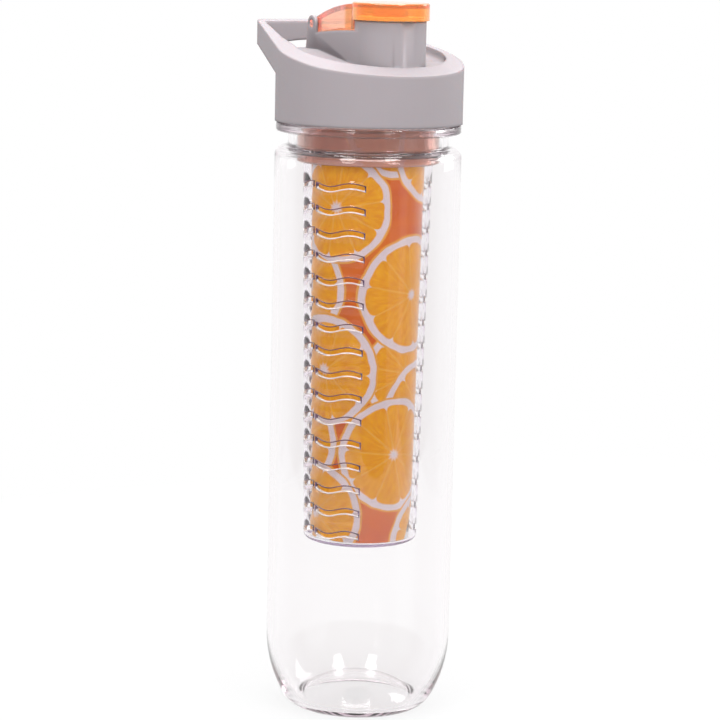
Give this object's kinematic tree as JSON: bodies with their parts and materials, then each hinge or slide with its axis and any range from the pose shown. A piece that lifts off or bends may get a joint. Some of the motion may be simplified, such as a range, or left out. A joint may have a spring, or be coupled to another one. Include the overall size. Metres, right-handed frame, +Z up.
{
  "type": "fruit infuser water bottle",
  "caption": "Clear drinking bottle with a tilted screw lid, carry loop, flip cap over a round spout, and a slotted infuser basket that hangs in the neck",
  "frame": {"origin": "centre of the base, at the surface that the bottle stands on", "axes": "+Z up, +X to the drinking spout, -X to the carry loop"},
  "size_m": [0.0881, 0.0712, 0.2715],
  "materials": {
    "clear_plastic": "clear moulded copolyester, polished",
    "grey_lid": "warm grey polypropylene, satin",
    "silicone": "translucent silicone",
    "orange_cap": "clear orange moulded plastic",
    "smoky_plastic": "smoky translucent moulded plastic",
    "printed_card": "printed glossy paper card, rolled"
  },
  "bodies": {
    "bottle": {"bottle_body": "clear_plastic"},
    "seal": {"lid_seal": "silicone"},
    "lid": {"lid_shell": "grey_lid", "carry_loop": "grey_lid", "spout_block": "grey_lid", "socket_ring": "grey_lid"},
    "cap": {"flip_cap": "orange_cap", "cap_plug": "silicone"},
    "infuser": {"infuser_collar": "smoky_plastic", "infuser_basket": "clear_plastic", "fruit_card": "printed_card"}
  },
  "joints": [
    {"name": "lid_lift", "type": "slide", "parent": "bottle", "child": "seal", "axis": [0, 0, 1], "range_m": [0, 0.18]},
    {"name": "lid_turn", "type": "hinge", "parent": "seal", "child": "lid", "pos_m": [0, 0, 0.24], "axis": [0, 0, 1], "range_deg": [0, 540]},
    {"name": "cap_flip", "type": "hinge", "parent": "lid", "child": "cap", "pos_m": [-0.0232, 0, 0.2621], "axis": [0, -1, 0], "range_deg": [0, 145]},
    {"name": "infuser_drop", "type": "slide", "parent": "lid", "child": "infuser", "axis": [0, 0, -1], "range_m": [0, 0.05]}
  ]
}
